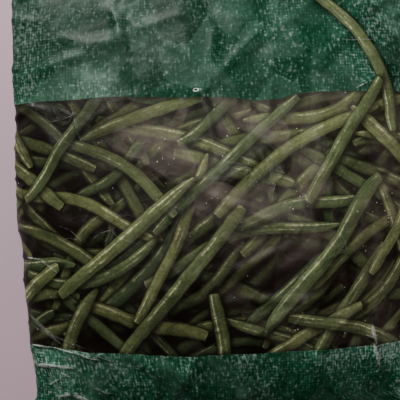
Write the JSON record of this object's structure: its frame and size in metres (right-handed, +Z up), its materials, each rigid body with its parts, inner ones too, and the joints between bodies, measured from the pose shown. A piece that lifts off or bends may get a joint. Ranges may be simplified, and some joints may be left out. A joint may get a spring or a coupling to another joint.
{
  "type": "bag of frozen green beans",
  "caption": "Filled pillow bag of frozen whole green beans: crimped end seals, folded-down back fin, pin vents, bean print on the front.",
  "frame": {"origin": "on the surface that the bag lies on, under the middle of the bag", "axes": "+X the bag's right side seen from above, +Y its top end, +Z up, the printed front facing up"},
  "size_m": [0.246, 0.3, 0.0396],
  "materials": {
    "printed_film": "glossy printed film, dark green",
    "green_bean": "frozen bean skin, satin green"
  },
  "bodies": {
    "root": {"film_bag": "printed_film", "beans_bottom": "green_bean", "beans_middle": "green_bean", "beans_top": "green_bean"}
  },
  "joints": []
}
